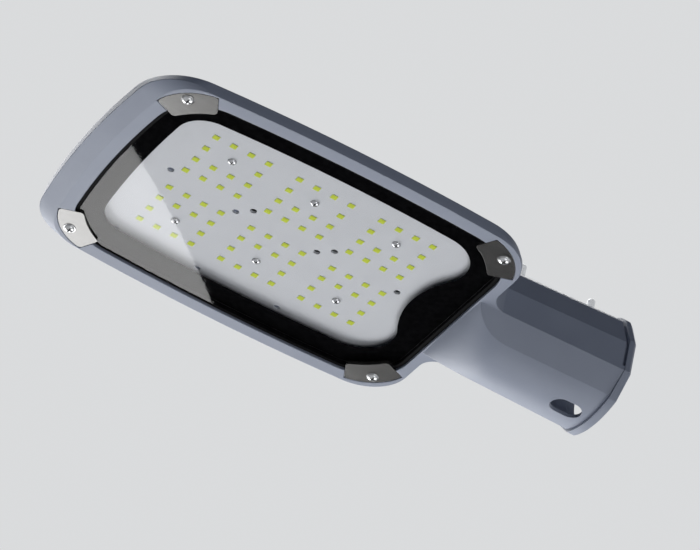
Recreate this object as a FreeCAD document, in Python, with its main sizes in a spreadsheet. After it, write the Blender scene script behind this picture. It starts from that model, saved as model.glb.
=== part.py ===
import FreeCAD, Part
import math
import os
import re
import Sketcher
from FreeCAD import Placement, Rotation, Vector

# LED street light head, die-cast, for a 60 mm arm.
# Origin: centre of the socket mouth, on the bore axis. X runs towards the front tip, Z is up,
# so the glass looks down along -Z.

doc = FreeCAD.newDocument("street_light_head")

sizes = {
    # head outline seen from below
    "headFront": 335.9, "headRear": 94.0, "headHalf": 92.9, "widestAt": 197.0,
    "frontBow": 529.0, "sideBow": 1150.0, "frontCorner": 28.0, "rearCorner": 29.0,
    # heights of the head: the rim plane hangs below the bore axis
    "rimDrop": 16.8, "sideWall": 7.2, "shoulderInset": 13.0, "floorThickness": 5.0,
    "wallInset": 0.3, "frontRounding": 7.5, "rearRounding": 5.0,
    "bandWidth": 10.9, "bandRise": 2.3, "bandCorner": 24.0,
    # glass recess, measured in from the head outline
    "frontRim": 18.7, "rearRim": 5.8, "sideRim": 8.9, "recessCorner": 33.0,
    "recessFrontBow": 510.0, "recessSideBow": 1100.0,
    "recessFront": "headFront - frontRim", "recessRear": "headRear + rearRim",
    "recessHalf": "headHalf - sideRim", "recessMiddle": "(recessFront + recessRear) / 2",
    "glassThickness": 3.2, "glassGap": 2.75, "printThickness": 0.2,
    "gasketThickness": 2.9, "gasketWidth": 9.5, "fitGap": 0.2, "threadGap": 0.1, "overcut": 1.0,
    # clear window in the printed border, measured in from the recess
    "printFront": 15.5, "printRear": 16.1, "printSide": 17.55,
    "windowFront": "recessFront - printFront", "windowRear": "recessRear + printRear",
    "windowHalf": "recessHalf - printSide", "windowCorner": 19.0,
    "windowRearCorner": 22.5,
    "windowFrontBow": 584.0, "windowSideBow": 1000.0,
    "tongueDepth": 10.4, "tongueArc": 62.0, "tongueFillet": 19.0,
    # clamp plates and their screws
    "clampThickness": 1.2, "clampInset": 8.8, "clampSideInset": 9.2,
    "clampAlong": "(recessFront - recessRear) / 2 - clampInset",
    "clampAcross": "recessHalf - clampSideInset",
    "clampOuterHalf": 17.6, "clampInnerHalf": 12.6, "clampOuterReach": 5.2, "clampInnerReach": 13.2,
    "clampInnerArc": 48.0, "clampCorner": 2.4, "clampGap": 0.4,
    "clampBoss": 3.2, "clampHead": 4.0, "clampHeadRise": 2.3, "clampShank": 2.0, "clampShankLong": 10.0,
    # board and light sources
    "boardThickness": 1.6, "boardSeat": 1.7, "boardGap": 0.3, "boardHole": 2.0, "boardHoleInset": 8.0,
    "arrayShift": 1.05, "arrayCentre": "recessMiddle + arrayShift",
    "ledPitch": 11.0, "groupPitch": 52.53, "rowPitch": 12.475, "middleRows": 20.28,
    "ledSide": 3.5, "ledRise": 0.7, "phosphorSide": 2.9, "phosphorRise": 0.08,
    "boardHead": 2.7, "boardHeadRise": 1.6, "boardShank": 1.5, "boardShankLong": 5.0,
    "boardScrewAlong": 52.53, "boardScrewAcross": 35.09,
    # pan head screws, as shares of the head's radius and rise
    "headRim": 0.45, "crossArm": 0.55, "crossHalf": 0.14, "crossDeep": 0.6,
    # socket
    "boreRadius": 30.25, "boreDepth": 68.0, "collarWidth": 5.0, "collarStep": 1.8,
    "collarWallStep": 0.3, "collarWallRise": 2.1, "collarCrownStep": 1.2, "collarBreak": 1.8,
    "grooveWidth": 1.8, "grooveDeep": 2.2, "grooveFoot": 2.8,
    "slotCentre": 19.3, "slotLong": 19.4, "slotWide": 13.75,
    "setScrewFirst": 16.5, "setScrewSecond": 63.7, "setScrewRadius": 2.5, "setScrewTop": 46.9,
    "setScrewSocket": 1.44, "setScrewSocketDeep": 3.5, "setScrewChamfer": 0.6,
    # spigot section: flat walls, slanted cheeks, crown concentric with the bore and round keel
    "wallHalfMouth": 36.0, "wallHalfNeck": 33.0, "wallTopMouth": 2.2,
    "wallTopNeck": 0.2,
    "crownHalf": 0.7244, "crownWall": 3.95, "crownFall": 3.6,
    "crownMouth": "boreRadius + crownWall", "crownNeck": "crownMouth - crownFall",
    "keelHalf": 0.636, "keelWall": 2.15, "keelSag": 4.7, "heelRun": 29.8, "heelFlatten": 0.85,
    "keelDrop": "boreRadius + keelWall", "keelEdge": "keelDrop - keelSag",
    "keelFlatEnd": "recessRear - heelRun", "neckFillet": 12.0,
    # control gear space behind the board
    "gearSet": 24.0, "gearRear": "headRear + gearSet", "gearRoof": 11.0, "gearGap": 4.0,
    "terminalSet": 3.0, "terminalRear": "gearRear + terminalSet",
    "terminalLong": 12.0, "terminalWide": 26.0, "terminalTall": 11.0,
    "terminalPitch": 8.0, "terminalHole": 2.2, "earthSpot": 19.5,
    "leadRun": 14.0, "leadRoom": 7.0, "leadRadius": 1.0, "leadSpread": 7.0, "leadBend": 2.5,
    "driverRear": "terminalRear + terminalLong + leadRun",
    "driverLong": 84.0, "driverWide": 42.0, "driverTall": 14.5, "driverTab": 6.0, "driverTabThick": 1.5,
    "gearFront": "driverRear + driverLong + leadRoom", "gearHalf": "driverWide / 2 + gearGap",
    "cableHole": 6.5, "cableHoleRise": 1.0, "grommetBore": 4.0, "grommetFlange": 9.5, "grommetLip": 2.0,
    "grommetSleeve": 8.0,
    # spine over the control gear, and the cooling fins beside it
    "spineLap": 8.0, "spineRun": 38.0, "spineFall": 12.5,
    "spineNose": "gearFront + spineLap", "spineEnd": "spineNose + spineRun",
    "finThickness": 2.2, "finPitch": 8.0, "finFirst": 39.0, "finRise": 19.0, "finEdge": 0.6,
    "finRearSet": 14.0, "finFrontSet": 17.9,
    "finRear": "headRear + finRearSet", "finFront": "headFront - finFrontSet",
}

sheet = doc.addObject("Spreadsheet::Sheet", "sizes")
for row, (alias, size) in enumerate(sizes.items(), start=1):
    sheet.set(f"A{row}", alias)
    sheet.set(f"B{row}", f"={size}")
    sheet.setAlias(f"B{row}", alias)
doc.recompute()


def bound(text):
    """The expression with the sheet's name before each size."""
    return re.sub(r"[A-Za-z]+", lambda word: "sizes." + word[0] if word[0] in sizes else word[0], text)


def value(text):
    return float(sheet.evalExpression(bound(text)))


# Sketch helpers

def addBody(label):
    body = doc.addObject("PartDesign::Body", label)
    body.Label = label
    return body


def addSketch(body, name, role="XY_Plane", offset="0"):
    sketch = body.newObject("Sketcher::SketchObject", name)
    plane = next(item for item in body.Origin.OriginFeatures if item.Role == role)
    sketch.AttachmentSupport = (plane, [""])
    sketch.MapMode = "FlatFace"
    sketch.setExpression("AttachmentOffset.Base.z", bound(offset))
    return sketch


def bind(sketch, kind, *places, size):
    index = sketch.addConstraint(Sketcher.Constraint(kind, *places, value(size)))
    name = f"{kind}{index}"
    sketch.renameConstraint(index, name)
    sketch.setExpression(f"Constraints.{name}", bound(size))


def arcAbout(centre, radius, start, end):
    return Part.ArcOfCircle(Part.Circle(centre, Vector(0, 0, 1), radius), start, end)


def drawOutline(sketch, plan):
    """A rounded plan shape: bowed front and sides, four corner arcs, straight rear."""
    front, rear, half, bow, side, near, far, widest = (value(plan[key]) for key in (
        "front", "rear", "half", "bow", "side", "frontCorner", "rearCorner", "widest"))
    bowCentre = Vector(front - bow, 0, 0)
    sideCentre = Vector(widest, half - side, 0)
    gap = sideCentre - bowCentre
    reach = bow - near
    span = side - near
    along = (reach ** 2 - span ** 2 + gap.Length ** 2) / (2 * gap.Length)
    across = math.sqrt(reach ** 2 - along ** 2)
    unit = gap / gap.Length
    nearCentre = bowCentre + unit * along + Vector(-unit.y, unit.x, 0) * across
    if nearCentre.y < 0 or nearCentre.x < widest:
        nearCentre = bowCentre + unit * along - Vector(-unit.y, unit.x, 0) * across
    farX = rear + far
    farCentre = Vector(farX, sideCentre.y + math.sqrt((side - far) ** 2 - (farX - widest) ** 2), 0)
    toNear = math.atan2(nearCentre.y, nearCentre.x - bowCentre.x)
    toSide = math.atan2(nearCentre.y - sideCentre.y, nearCentre.x - sideCentre.x)
    toFar = math.atan2(farCentre.y - sideCentre.y, farCentre.x - sideCentre.x)
    nearMirror, sideMirror, farMirror = (
        Vector(point.x, -point.y, 0) for point in (nearCentre, sideCentre, farCentre))
    sketch.addGeometry([
        arcAbout(bowCentre, bow, -toNear, toNear),
        arcAbout(nearCentre, near, toNear, toSide),
        arcAbout(sideCentre, side, toSide, toFar),
        arcAbout(farCentre, far, toFar, math.pi),
        Part.LineSegment(Vector(rear, farCentre.y, 0), Vector(rear, -farCentre.y, 0)),
        arcAbout(farMirror, far, math.pi, 2 * math.pi - toFar),
        arcAbout(sideMirror, side, -toFar, -toSide),
        arcAbout(nearMirror, near, -toSide, -toNear)])
    for edge in range(8):
        sketch.addConstraint(Sketcher.Constraint("Tangent", edge, 2, (edge + 1) % 8, 1))
    for first, second in ((1, 7), (2, 6), (3, 5)):
        sketch.addConstraint(Sketcher.Constraint("Equal", first, second))
    sketch.addConstraint(Sketcher.Constraint("PointOnObject", 0, 3, -1))
    sketch.addConstraint(Sketcher.Constraint("Symmetric", 2, 3, 6, 3, -1))
    sketch.addConstraint(Sketcher.Constraint("Vertical", 4))
    bind(sketch, "Radius", 0, size=plan["bow"])
    bind(sketch, "Radius", 1, size=plan["frontCorner"])
    bind(sketch, "Radius", 2, size=plan["side"])
    bind(sketch, "Radius", 3, size=plan["rearCorner"])
    bind(sketch, "DistanceX", -1, 1, 0, 3, size=f"{plan['front']} - ({plan['bow']})")
    bind(sketch, "DistanceX", -1, 1, 2, 3, size=plan["widest"])
    bind(sketch, "DistanceY", -1, 1, 2, 3, size=f"{plan['half']} - ({plan['side']})")
    bind(sketch, "DistanceX", -1, 1, 4, 1, size=plan["rear"])


def drawLoop(sketch, corners, arcs=None):
    """A closed loop through the corners. An arc's radius is positive where it bulges outward."""
    arcs = arcs or {}
    points = [Vector(value(across), value(up), 0) for across, up in corners]
    count = len(points)
    ends = []
    for edge in range(count):
        start, end = points[edge], points[(edge + 1) % count]
        if edge not in arcs:
            sketch.addGeometry(Part.LineSegment(start, end))
            ends.append((1, 2))
            continue
        radius = value(arcs[edge])
        bulge = math.copysign(1, radius)
        chord = end - start
        outward = Vector(chord.y, -chord.x, 0) / chord.Length
        rise = math.sqrt(max(0, radius ** 2 - chord.Length ** 2 / 4))
        centre = (start + end) / 2 - outward * rise * bulge
        begin, finish = (start, end) if bulge > 0 else (end, start)
        sketch.addGeometry(arcAbout(centre, abs(radius), math.atan2(begin.y - centre.y, begin.x - centre.x),
                                    math.atan2(finish.y - centre.y, finish.x - centre.x)))
        ends.append((1, 2) if bulge > 0 else (2, 1))
    for edge in range(count):
        after = (edge + 1) % count
        sketch.addConstraint(Sketcher.Constraint("Coincident", edge, ends[edge][1], after, ends[after][0]))
        across, up = corners[edge]
        bind(sketch, "DistanceX", -1, 1, edge, ends[edge][0], size=across)
        bind(sketch, "DistanceY", -1, 1, edge, ends[edge][0], size=up)
    for edge, radius in arcs.items():
        bind(sketch, "Radius", edge, size=radius if value(radius) > 0 else f"-({radius})")


def addPad(body, sketch, length, name="Pad", midplane=False):
    pad = body.newObject("PartDesign::Pad", name)
    pad.Profile = sketch
    pad.Midplane = midplane
    pad.setExpression("Length", bound(length))
    return pad


def addPocket(body, sketch, length, name="Pocket", upward=True):
    pocket = body.newObject("PartDesign::Pocket", name)
    pocket.Profile = sketch
    pocket.Reversed = upward
    pocket.setExpression("Length", bound(length))
    return pocket


def addLoft(body, sections, name="Loft", ruled=True):
    loft = body.newObject("PartDesign::AdditiveLoft", name)
    loft.Profile = sections[0]
    loft.Sections = sections[1:]
    loft.Ruled = ruled
    return loft


def addTurned(body, sketch, name="Revolution"):
    turned = body.newObject("PartDesign::Revolution", name)
    turned.Profile = sketch
    turned.ReferenceAxis = (sketch, ["V_Axis"])
    turned.Angle = 360
    return turned


def addBox(name, corner, lengths):
    box = doc.addObject("Part::Box", name)
    for side, length in zip(("Length", "Width", "Height"), lengths):
        box.setExpression(side, bound(length))
    for axis, place in zip("xyz", corner):
        box.setExpression(f"Placement.Base.{axis}", bound(place))
    return box


def addCylinder(name, radius, height, place, axis=(0, 0, 1)):
    cylinder = doc.addObject("Part::Cylinder", name)
    cylinder.Placement = Placement(Vector(), Rotation(Vector(0, 0, 1), Vector(*axis)))
    cylinder.setExpression("Radius", bound(radius))
    cylinder.setExpression("Height", bound(height))
    for letter, position in zip("xyz", place):
        cylinder.setExpression(f"Placement.Base.{letter}", bound(position))
    return cylinder


def addFuse(name, shapes):
    fuse = doc.addObject("Part::MultiFuse", name)
    fuse.Shapes = shapes
    return fuse


def addCommon(name, shapes):
    common = doc.addObject("Part::MultiCommon", name)
    common.Shapes = shapes
    return common


def addCut(name, base, tool):
    cut = doc.addObject("Part::Cut", name)
    cut.Base = base
    cut.Tool = tool
    cut.Label = name
    return cut


def addGroup(label, solid, places):
    """Copies of one solid, each at its own place, as a group of separate solids."""
    group = doc.addObject("Part::Feature", label)
    copies = []
    for place in places:
        copy = solid.Shape.copy()
        copy.Placement = place.multiply(copy.Placement)
        copies.append(copy)
    group.Shape = Part.makeCompound(copies)
    return group


def inset(plan, by):
    """The same plan shape, smaller all round by one distance."""
    smaller = {key: f"{size} - ({by})" for key, size in plan.items()}
    smaller["rear"] = f"{plan['rear']} + ({by})"
    smaller["widest"] = plan["widest"]
    return smaller


def plate(label, plan, level, thickness):
    body = addBody(label)
    sketch = addSketch(body, label + "_plan", offset=level)
    drawOutline(sketch, plan)
    addPad(body, sketch, thickness, label + "_pad")
    return body


# Plan shapes and levels shared by the pieces

headPlan = {"front": "headFront", "rear": "headRear", "half": "headHalf", "bow": "frontBow",
            "side": "sideBow", "frontCorner": "frontCorner", "rearCorner": "rearCorner",
            "widest": "widestAt"}
recessPlan = {"front": "recessFront", "rear": "recessRear", "half": "recessHalf",
              "bow": "recessFrontBow", "side": "recessSideBow", "frontCorner": "recessCorner",
              "rearCorner": "recessCorner", "widest": "widestAt"}
windowPlan = {"front": "windowFront", "rear": "windowRear", "half": "windowHalf",
              "bow": "windowFrontBow", "side": "windowSideBow", "frontCorner": "windowCorner",
              "rearCorner": "windowRearCorner", "widest": "widestAt"}
bandPlan = dict(headPlan, front="headFront - bandWidth", bow="frontBow - bandWidth",
                frontCorner="bandCorner")
partingPlan = dict(headPlan, half="headHalf - wallInset", frontCorner="frontCorner + frontRounding",
                   rearCorner="rearCorner + rearRounding")

rimLevel = "0 - rimDrop"
bandLevel = "bandRise - rimDrop"
partingLevel = "sideWall - rimDrop"
glassFace = "clampThickness - rimDrop"
glassBack = "clampThickness + glassThickness - rimDrop"
gasketFace = "clampThickness + glassThickness + printThickness - rimDrop"
ledgeLevel = "clampThickness + glassThickness + printThickness + gasketThickness - rimDrop"
boardFloor = f"{ledgeLevel} + boardSeat"
boardFace = f"{boardFloor} - boardThickness"
deckLevel = f"{boardFloor} + floorThickness"
tall = "crownMouth * 3"


# Housing: shallow dish of the head

shell = addBody("head_shell")
bandSketch = addSketch(shell, "band_inner", offset=rimLevel)
drawOutline(bandSketch, bandPlan)
bandEdge = addSketch(shell, "band_outer", offset=bandLevel)
drawOutline(bandEdge, headPlan)
addLoft(shell, [bandSketch, bandEdge], "front_band")
wallSketch = addSketch(shell, "wall_plan", offset=bandLevel)
drawOutline(wallSketch, headPlan)
partingEdge = addSketch(shell, "wall_top", offset=partingLevel)
drawOutline(partingEdge, partingPlan)
addLoft(shell, [wallSketch, partingEdge], "side_wall")
partingSketch = addSketch(shell, "parting_plan", offset=partingLevel)
drawOutline(partingSketch, partingPlan)
deckSketch = addSketch(shell, "deck_plan", offset=deckLevel)
drawOutline(deckSketch, inset(partingPlan, "shoulderInset"))
addLoft(shell, [partingSketch, deckSketch], "shoulder")


# Housing: spigot, neck and the spine that carries on over the deck

def spigotSection(half, top, crown):
    """The sizes of one cross-section: its wall's half width and top, and its crown's radius."""
    return {"wall": half, "floor": "rimDrop", "wallTop": top, "crown": crown,
            "crownHalf": f"({half}) * crownHalf", "keelHalf": f"({half}) * keelHalf",
            "keelEdge": "keelEdge", "keelDrop": "keelDrop"}


def drawSpigotSection(sketch, section):
    wall, floor, crown, across, keel = (f"({section[key]})" for key in (
        "wall", "floor", "crown", "crownHalf", "keelHalf"))
    edge, drop = f"({section['keelEdge']})", f"({section['keelDrop']})"
    crownEdge = f"sqrt({crown}^2 - {across}^2)"
    drawLoop(sketch, [
        (wall, f"0 - {floor}"), (wall, section["wallTop"]), (across, crownEdge),
        (f"0 - {across}", crownEdge), (f"0 - {wall}", section["wallTop"]), (f"0 - {wall}", f"0 - {floor}"),
        (f"0 - {keel}", f"0 - {edge}"), (keel, f"0 - {edge}")], {
            2: crown, 6: f"({keel}^2 + ({drop} - {edge})^2) / (2 * ({drop} - {edge}))"})


def deepSection(section):
    """The same section with its cheeks carried on below the keel."""
    half = section["wall"]
    deeper = "(keelDrop + overcut - rimDrop) / (keelEdge - rimDrop)"
    return dict(section, keelHalf=f"({half}) * (1 - (1 - keelHalf) * {deeper})",
                keelEdge="keelDrop + overcut", keelDrop="keelDrop + overcut * 2")


mouthSection = spigotSection("wallHalfMouth", "wallTopMouth", "crownMouth")
neckSection = spigotSection("wallHalfNeck", "wallTopNeck", "crownNeck")
spigot = addBody("spigot_form")
mouthSketch = addSketch(spigot, "mouth_section", "YZ_Plane", "collarWidth")
drawSpigotSection(mouthSketch, deepSection(mouthSection))
neckSketch = addSketch(spigot, "neck_section", "YZ_Plane", "headRear")
drawSpigotSection(neckSketch, deepSection(neckSection))
addLoft(spigot, [mouthSketch, neckSketch], "spigot_flare")
spineSketch = addSketch(spigot, "spine_section", "YZ_Plane", "headRear")
drawSpigotSection(spineSketch, deepSection(neckSection))
addPad(spigot, spineSketch, "spineEnd - headRear", "spine")

# Everything below the keel: its round underside runs straight, then swells up to the rim as a heel
# and grows flatter across.
heelDrop = "(keelDrop - rimDrop)"
heelRadius = f"(({heelDrop}^2 + heelRun^2) / (2 * {heelDrop}))"
underHalf = "(wallHalfNeck + overcut)"
underFloor = "0 - keelDrop - overcut * 3"


def underSection(body, spot, share):
    """One section at spot. The share of the heel's run behind it lifts and flattens the arc."""
    fade = share ** 2 * (3 - 2 * share)
    lift = f"({heelRadius} - sqrt({heelRadius}^2 - (heelRun * {share})^2))"
    keel = f"(keelHalf * (wallHalfMouth + (wallHalfNeck - wallHalfMouth) * ({spot}) / headRear))"
    sag = f"(keelSag * (1 - heelFlatten * {fade}))"
    across = f"(({keel}^2 + {sag}^2) / (2 * {sag}))"
    edge = f"0 - keelDrop + {lift} + {across} - sqrt({across}^2 - {underHalf}^2)"
    sketch = addSketch(body, body.Name + "_section", "YZ_Plane", spot)
    drawLoop(sketch, [(f"0 - {underHalf}", underFloor), (underHalf, underFloor), (underHalf, edge),
                      (f"0 - {underHalf}", edge)], {2: f"0 - {across}"})
    return sketch


heelStart = "keelFlatEnd - heelRun * 0.4"
underKeel = addBody("under_keel")
addLoft(underKeel, [underSection(underKeel, spot, 0) for spot in ("collarWidth - overcut", heelStart)],
        "under_keel_loft")
underHeel = addBody("under_heel")
addLoft(underHeel, [underSection(underHeel, f"keelFlatEnd + heelRun * ({share})", max(share, 0))
                    for share in (-0.4, -0.2, 0, 0.2, 0.4, 0.6, 0.8, 1.02)], "under_heel_loft", ruled=False)

# Side view: the neck ends at the recess, and the spine falls to the deck.
side = addBody("side_form")
sideSketch = addSketch(side, "side_view", "XZ_Plane")
sideTop = "crownMouth + overcut"
drawLoop(sideSketch, [
    ("collarWidth", "0 - keelDrop - overcut"), ("recessRear", "0 - keelDrop - overcut"),
    ("recessRear", partingLevel), ("spineEnd", partingLevel), ("spineEnd", deckLevel),
    ("spineNose", "crownNeck - spineFall"), ("headRear", sideTop), ("collarWidth", sideTop)])
addPad(side, sideSketch, "wallHalfMouth * 3", "side_pad", midplane=True)
neck = addCut("neck_and_spine", addCommon("neck_blank", [spigot, side]),
              addFuse("under_form", [underKeel, underHeel]))

# Concave corners between the head's rear wall and the spigot's walls.
web = addBody("neck_web")
webSketch = addSketch(web, "web_plan", offset=rimLevel)
webHalf = "wallHalfNeck + neckFillet"
drawLoop(webSketch, [
    ("headRear - neckFillet", "0 - wallHalfNeck"), ("headRear", f"0 - ({webHalf})"),
    ("recessRear", f"0 - ({webHalf})"), ("recessRear", webHalf), ("headRear", webHalf),
    ("headRear - neckFillet", "wallHalfNeck")],
    {0: "0 - neckFillet", 4: "0 - neckFillet"})
addPad(web, webSketch, "rimDrop + wallTopNeck", "web_pad")
webSection = addBody("neck_web_section")
webSectionSketch = addSketch(webSection, "web_section", "YZ_Plane", "headRear - neckFillet * 2")
webOuter = f"({webHalf} + overcut)"
drawLoop(webSectionSketch, [
    (f"0 - {webOuter}", rimLevel), (webOuter, rimLevel), (webOuter, partingLevel),
    ("wallHalfNeck", "wallTopNeck"), ("0 - wallHalfNeck", "wallTopNeck"),
    (f"0 - {webOuter}", partingLevel)])
addPad(webSection, webSectionSketch, "neckFillet * 3 + recessRear - headRear", "web_section_pad")
neckWeb = addCommon("neck_corners", [web, webSection])


# Housing: cooling fins, cut to a crowned envelope that dies into the deck

finRoot = partingLevel
finCount = math.floor(value("(headHalf - shoulderInset - finFirst) / finPitch - 0.5")) + 1
finEnvelope = addBody("fin_side_form")
finSketch = addSketch(finEnvelope, "fin_side_view", "XZ_Plane")
finHalfRun = "((finFront - finRear) / 2)"
finCrown = f"(finRise - ({finRoot}))"
drawLoop(finSketch, [("finRear", finRoot), ("finFront", finRoot)],
         {1: f"({finHalfRun}^2 + {finCrown}^2) / (2 * {finCrown})"})
addPad(finEnvelope, finSketch, "headHalf * 2", "fin_side_pad", midplane=True)
finCross = addBody("fin_cross_form")
crossSketch = addSketch(finCross, "fin_cross_view", "YZ_Plane", "finRear")
finEdgeLevel = f"{finRoot} + finEdge"
crossSag = f"({finCrown} - finEdge)"
drawLoop(crossSketch, [
    ("0 - headHalf", finRoot), ("headHalf", finRoot), ("headHalf", finEdgeLevel),
    ("0 - headHalf", finEdgeLevel)],
    {2: f"(headHalf^2 + {crossSag}^2) / (2 * {crossSag})"})
addPad(finCross, crossSketch, "finFront - finRear", "fin_cross_pad")
finPlan = plate("fin_plan_form", inset(partingPlan, "shoulderInset"), partingLevel, "finRise * 2")
finBlanks = []
for number in range(finCount):
    for hand in ("", "0 - "):
        centre = f"({hand}(finFirst + finPitch * {number}))"
        finBlanks.append(addBox(f"fin_{number}_{'left' if hand else 'right'}", (
            "finRear", f"{centre} - finThickness / 2", partingLevel), (
            "finFront - finRear", "finThickness", "finRise * 2")))
fins = addCommon("fins", [addFuse("fin_blanks", finBlanks), finEnvelope, finCross, finPlan])

blank = addFuse("housing_blank", [shell, neck, neckWeb, fins])


# Housing: everything cut out of the casting

def clampPoint(alongSign, acrossSign):
    return (f"recessMiddle + clampAlong * {alongSign}", f"clampAcross * {acrossSign}")


def clampPlace(alongSign, acrossSign, level):
    """Each clamp plate points its narrow end at the middle of the glass."""
    across, up = clampPoint(alongSign, acrossSign)
    angle = math.degrees(math.atan2(acrossSign, alongSign))
    return Placement(Vector(value(across), value(up), value(level)), Rotation(Vector(0, 0, 1), angle))


clampHands = {"front_left": (1, 1), "front_right": (1, -1), "rear_left": (-1, 1), "rear_right": (-1, -1)}


def drawClamp(sketch, grow="0"):
    inner = f"0 - clampInnerReach - {grow}"
    drawLoop(sketch, [
        (inner, f"0 - clampInnerHalf - {grow}"), (f"0 + {grow}", f"0 - clampOuterHalf - {grow}"),
        (f"0 + {grow}", f"clampOuterHalf + {grow}"), (inner, f"clampInnerHalf + {grow}")],
        {1: f"((clampOuterHalf + {grow})^2 + clampOuterReach^2) / (2 * clampOuterReach)",
         3: "0 - clampInnerArc"})


clampBlank = addBody("clamp_blank")
clampSketch = addSketch(clampBlank, "clamp_plan")
drawClamp(clampSketch)
clampPad = addPad(clampBlank, clampSketch, "clampThickness", "clamp_pad")
doc.recompute()
clampFillet = clampBlank.newObject("PartDesign::Fillet", "clamp_corners")
upright = [f"Edge{number}" for number, edge in enumerate(clampPad.Shape.Edges, start=1)
           if abs(edge.tangentAt(edge.FirstParameter).z) > 0.99]
clampFillet.Base = (clampPad, upright)
clampFillet.setExpression("Radius", bound("clampCorner"))
clampHole = addSketch(clampBlank, "clamp_hole_plan")
clampHole.addGeometry(Part.Circle(Vector(), Vector(0, 0, 1), value("clampShank + fitGap")))
clampHole.addConstraint(Sketcher.Constraint("Coincident", 0, 3, -1, 1))
bind(clampHole, "Radius", 0, size="clampShank + fitGap")
addPocket(clampBlank, clampHole, "clampThickness", "clamp_hole")

pocketBlank = addBody("clamp_pocket_blank")
pocketSketch = addSketch(pocketBlank, "pocket_plan", offset="0 - clampThickness")
drawClamp(pocketSketch, "clampGap")
addPad(pocketBlank, pocketSketch, "clampThickness * 2", "pocket_pad")
doc.recompute()

bosses = []
clampDrills = []
for hand, (along, across) in clampHands.items():
    spot = clampPoint(along, across)
    bosses.append(addCylinder(f"boss_{hand}", "clampBoss", f"{deckLevel} - ({rimLevel})",
                              (*spot, rimLevel)))
    clampDrills.append(addCylinder(f"clamp_drill_{hand}", "clampShank + threadGap",
                                   "clampShankLong + fitGap", (*spot, rimLevel)))
clampPockets = addGroup("clamp_pockets", pocketBlank,
                        [clampPlace(*hands, rimLevel) for hands in clampHands.values()])

recess = addCut("recess_tool", plate(
    "recess_form", recessPlan, f"{rimLevel} - overcut", f"{ledgeLevel} - ({rimLevel}) + overcut"),
    addFuse("clamp_bosses", bosses))
boardPlan = inset(recessPlan, "gasketWidth + fitGap * 2 + boardGap")
boardPocket = plate("board_pocket", inset(recessPlan, "gasketWidth + fitGap * 2"),
                    f"{ledgeLevel} - overcut", "boardSeat + overcut")

gearSpace = addBox("gear_space", ("gearRear", "0 - gearHalf", f"{boardFloor} - overcut"),
                   ("gearFront - gearRear", "gearHalf * 2", f"gearRoof - ({boardFloor}) + overcut"))
bore = addCylinder("bore", "boreRadius", "boreDepth", ("0", "0", "0"), (1, 0, 0))
cablePassage = addCylinder("cable_passage", "cableHole", "gearRear - boreDepth + overcut * 2",
                           ("boreDepth - overcut", "0", "cableHoleRise"), (1, 0, 0))
grommetPocket = addCylinder("grommet_pocket", "grommetFlange + fitGap", "grommetLip + overcut",
                            ("boreDepth - overcut", "0", "cableHoleRise"), (1, 0, 0))

slotStraight = "(slotLong - slotWide)"
slotFloor = "0 - keelDrop - overcut"
slot = addFuse("tenon_slot", [
    addBox("slot_middle", (f"slotCentre - {slotStraight} / 2", "0 - slotWide / 2", slotFloor),
           (slotStraight, "slotWide", "keelDrop / 2")),
    *[addCylinder(f"slot_end_{number}", "slotWide / 2", "keelDrop / 2",
                  (f"slotCentre + {slotStraight} * {half}", "0", slotFloor))
      for number, half in enumerate((-0.5, 0.5))]])

setScrewHoles = [addCylinder(f"set_screw_hole_{end}", "setScrewRadius", "crownMouth / 2",
                             (place, "0", "boreRadius - setScrewRadius"))
                 for end, place in (("front", "setScrewSecond"), ("rear", "setScrewFirst"))]

# Drip groove behind the collar, round the walls, cheeks and crown.
grooveOuter = addBox("groove_outer", ("collarWidth", "0 - wallHalfMouth * 2", "grooveFoot - rimDrop"),
                     ("grooveWidth", "wallHalfMouth * 4", tall))
grooveCore = addBody("groove_core")
grooveSketch = addSketch(grooveCore, "groove_section", "YZ_Plane", "0")
drawSpigotSection(grooveSketch, dict(
    mouthSection, wall="wallHalfMouth - grooveDeep", crown="crownMouth - grooveDeep"))
addPad(grooveCore, grooveSketch, "collarWidth + grooveWidth * 2", "groove_core_pad")
groove = addCut("groove", grooveOuter, grooveCore)

rowLevels = [f"middleRows / 2 + rowPitch * {number}" for number in range(4)]
boardScrewSpots = [(f"arrayCentre + boardScrewAlong * {along}", f"boardScrewAcross * {across}")
                   for along in (-1, 0, 1) for across in (-1, 1)]
# Locating holes of the board: three near the middle on each side of it, and three along each edge.
boardHalf = "(recessHalf - gasketWidth - fitGap * 2 - boardGap)"
edgeRow = f"({boardHalf} - boardHoleInset)"
holeColumns = ((6.86, 2.07, -2.69), (2.74, -2.02, -6.81))
holeRows = (("ledPitch * 0.4", f"0 - {edgeRow}"), ("0 - ledPitch * 0.29", edgeRow))
holeSpots = [(f"arrayCentre + ledPitch * {along}", across)
             for columns, rows in zip(holeColumns, holeRows) for along in columns for across in rows]

boardDrills = [addCylinder(f"board_drill_{number}", "boardShank + threadGap", "boardShankLong + fitGap",
                           (*spot, boardFace)) for number, spot in enumerate(boardScrewSpots)]

tabSpot = ("driverRear - driverTab / 2", "0", "gearRoof - driverTabThick")
tabDrill = addCylinder("tab_drill", "boardShank + threadGap", "boardShankLong + fitGap", tabSpot)
earthSpot = ("terminalRear + terminalLong / 2", "earthSpot", "gearRoof")
earthDrill = addCylinder("earth_drill", "clampShank + threadGap", "clampShankLong + fitGap", earthSpot)

tools = addFuse("cut_tools", [
    recess, boardPocket, gearSpace, bore, cablePassage, grommetPocket, slot, groove, clampPockets,
    tabDrill, earthDrill, *clampDrills, *setScrewHoles, *boardDrills])
housing = addCut("housing", blank, tools)


# Collar at the socket mouth

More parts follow.
